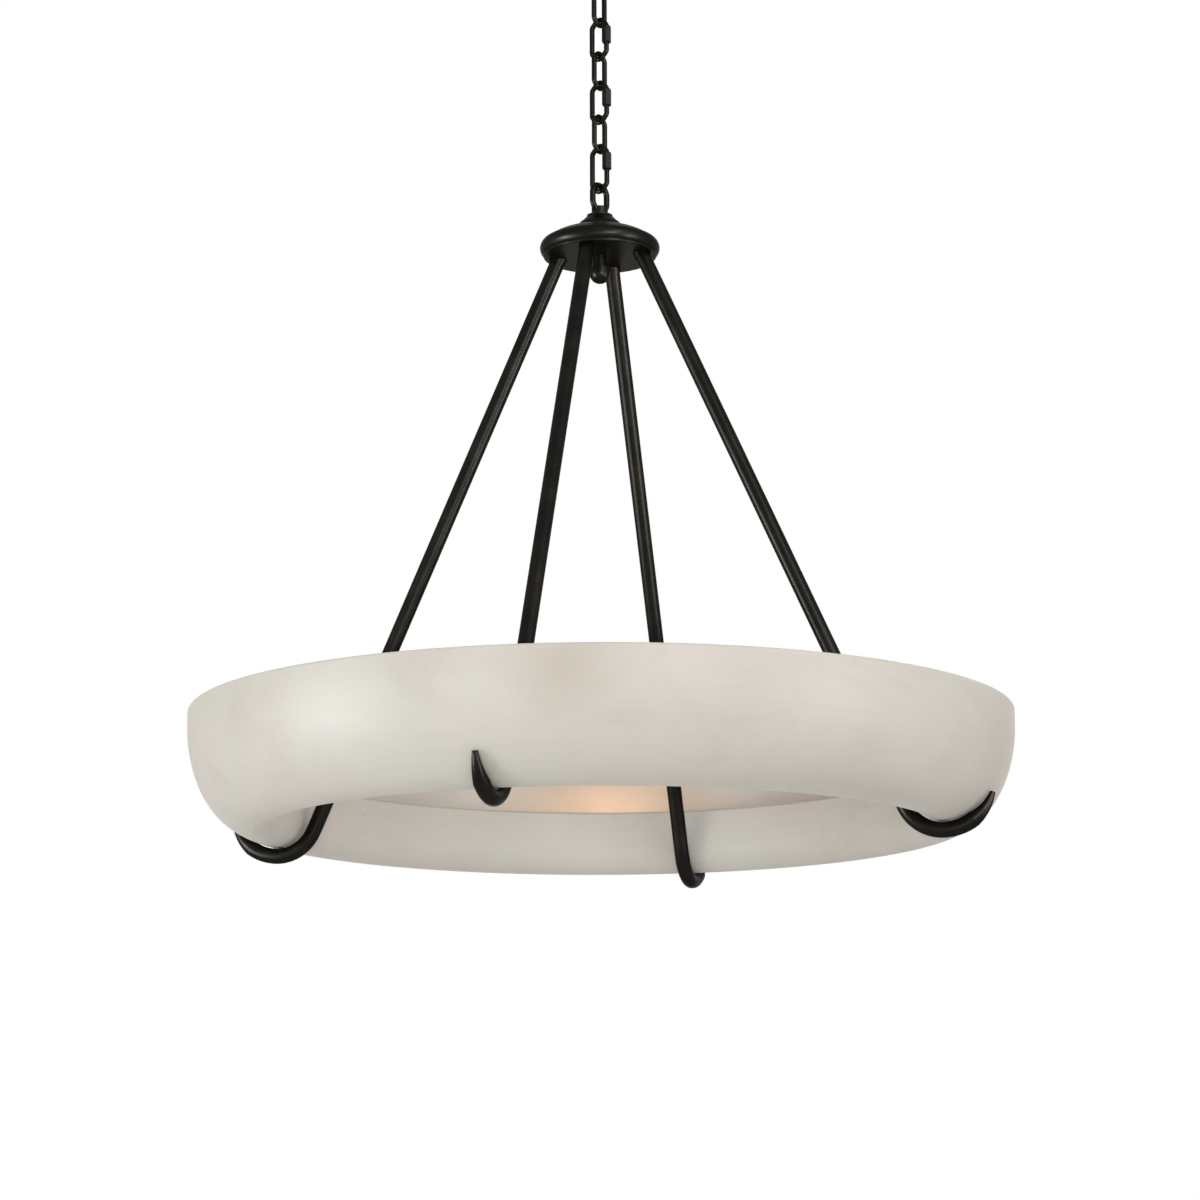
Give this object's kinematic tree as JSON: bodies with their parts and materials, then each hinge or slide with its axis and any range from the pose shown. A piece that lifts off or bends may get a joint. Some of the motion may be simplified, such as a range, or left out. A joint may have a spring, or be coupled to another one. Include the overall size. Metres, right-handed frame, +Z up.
{
  "type": "pendant light",
  "caption": "Ring pendant light: a carved alabaster gutter holds the bulbs and rests in forged hooks on leaning rods below a hub hung by a chain of quick links.",
  "frame": {"origin": "middle of the crossbar's top face, on the ceiling plane", "axes": "+Z up out of the ceiling, -Z down the chain; the arms lie along X and Y"},
  "size_m": [0.9144, 0.9144, 1.1089],
  "materials": {
    "bronze": "oil-rubbed bronze, satin",
    "alabaster": "honed alabaster, cloudy and slightly translucent",
    "zinc": "zinc plated",
    "ground_green": "green ground screw",
    "tray_white": "white enamel",
    "bushing": "black nylon",
    "pad": "soft matt",
    "holder_ceramic": "white porcelain",
    "cap_brass": "plain",
    "bulb_glass": "frosted"
  },
  "bodies": {
    "ceiling": {"ceiling_canopy": "bronze", "mounting_crossbar": "zinc", "ground_screw": "ground_green", "canopy_nipple": "zinc", "crossbar_locknut": "zinc", "canopy_loop": "bronze", "canopy_collar": "bronze"},
    "quick_link_1": {"quick_link_1": "bronze"},
    "plain_link_1": {"plain_link_1": "bronze"},
    "quick_link_2": {"quick_link_2": "bronze"},
    "plain_link_2": {"plain_link_2": "bronze"},
    "quick_link_3": {"quick_link_3": "bronze"},
    "plain_link_3": {"plain_link_3": "bronze"},
    "quick_link_4": {"quick_link_4": "bronze"},
    "hub": {"hub_loop": "bronze", "hub_neck": "bronze", "hub_cover": "bronze", "hub_plate": "bronze", "arm_set_screws": "zinc", "hub_stem": "zinc", "hub_cap_nut": "bronze", "arm_front": "bronze", "arm_right": "bronze", "arm_back": "bronze", "arm_left": "bronze", "hook_pad_front": "pad", "hook_pad_right": "pad", "hook_pad_back": "pad", "hook_pad_left": "pad", "wire_bushing": "bushing"},
    "quick_link_nut_1": {"quick_link_nut_1": "bronze"},
    "quick_link_nut_2": {"quick_link_nut_2": "bronze"},
    "quick_link_nut_3": {"quick_link_nut_3": "bronze"},
    "quick_link_nut_4": {"quick_link_nut_4": "bronze"},
    "ring": {"alabaster_ring": "alabaster", "lamp_tray": "tray_white", "lampholder_brackets": "zinc", "bracket_screws": "zinc", "lampholder_1": "holder_ceramic", "bulb_cap_1": "cap_brass", "bulb_1": "bulb_glass", "lampholder_2": "holder_ceramic", "bulb_cap_2": "cap_brass", "bulb_2": "bulb_glass", "lampholder_3": "holder_ceramic", "bulb_cap_3": "cap_brass", "bulb_3": "bulb_glass", "lampholder_4": "holder_ceramic", "bulb_cap_4": "cap_brass", "bulb_4": "bulb_glass", "lampholder_5": "holder_ceramic", "bulb_cap_5": "cap_brass", "bulb_5": "bulb_glass"}
  },
  "joints": [
    {"name": "quick_link_1_swing", "type": "hinge", "parent": "ceiling", "child": "quick_link_1", "pos_m": [0, 0, -0.0674], "axis": [0.3746, 0.9272, 0], "range_deg": [-20, 20]},
    {"name": "plain_link_1_swing", "type": "hinge", "parent": "quick_link_1", "child": "plain_link_1", "pos_m": [0, 0, -0.1084], "axis": [0.9272, -0.3746, 0], "range_deg": [-20, 20]},
    {"name": "quick_link_2_swing", "type": "hinge", "parent": "plain_link_1", "child": "quick_link_2", "pos_m": [0, 0, -0.144], "axis": [0.3746, 0.9272, 0], "range_deg": [-20, 20]},
    {"name": "plain_link_2_swing", "type": "hinge", "parent": "quick_link_2", "child": "plain_link_2", "pos_m": [0, 0, -0.1854], "axis": [0.9272, -0.3746, 0], "range_deg": [-20, 20]},
    {"name": "quick_link_3_swing", "type": "hinge", "parent": "plain_link_2", "child": "quick_link_3", "pos_m": [0, 0, -0.221], "axis": [0.3746, 0.9272, 0], "range_deg": [-20, 20]},
    {"name": "plain_link_3_swing", "type": "hinge", "parent": "quick_link_3", "child": "plain_link_3", "pos_m": [0, 0, -0.2624], "axis": [0.9272, -0.3746, 0], "range_deg": [-20, 20]},
    {"name": "quick_link_4_swing", "type": "hinge", "parent": "plain_link_3", "child": "quick_link_4", "pos_m": [0, 0, -0.298], "axis": [0.3746, 0.9272, 0], "range_deg": [-20, 20]},
    {"name": "hub_swing", "type": "hinge", "parent": "quick_link_4", "child": "hub", "pos_m": [0, 0, -0.346], "axis": [0.9272, -0.3746, 0], "range_deg": [-20, 20]},
    {"name": "quick_link_nut_1_travel", "type": "slide", "parent": "quick_link_1", "child": "quick_link_nut_1", "axis": [0, 0, -1], "range_m": [0, 0.0076]},
    {"name": "quick_link_nut_2_travel", "type": "slide", "parent": "quick_link_2", "child": "quick_link_nut_2", "axis": [0, 0, -1], "range_m": [0, 0.0076]},
    {"name": "quick_link_nut_3_travel", "type": "slide", "parent": "quick_link_3", "child": "quick_link_nut_3", "axis": [0, 0, -1], "range_m": [0, 0.0076]},
    {"name": "quick_link_nut_4_travel", "type": "slide", "parent": "quick_link_4", "child": "quick_link_nut_4", "axis": [0, 0, -1], "range_m": [0, 0.0076]},
    {"name": "ring_lift", "type": "slide", "parent": "hub", "child": "ring", "axis": [0, 0, 1], "range_m": [0, 0.06]}
  ]
}
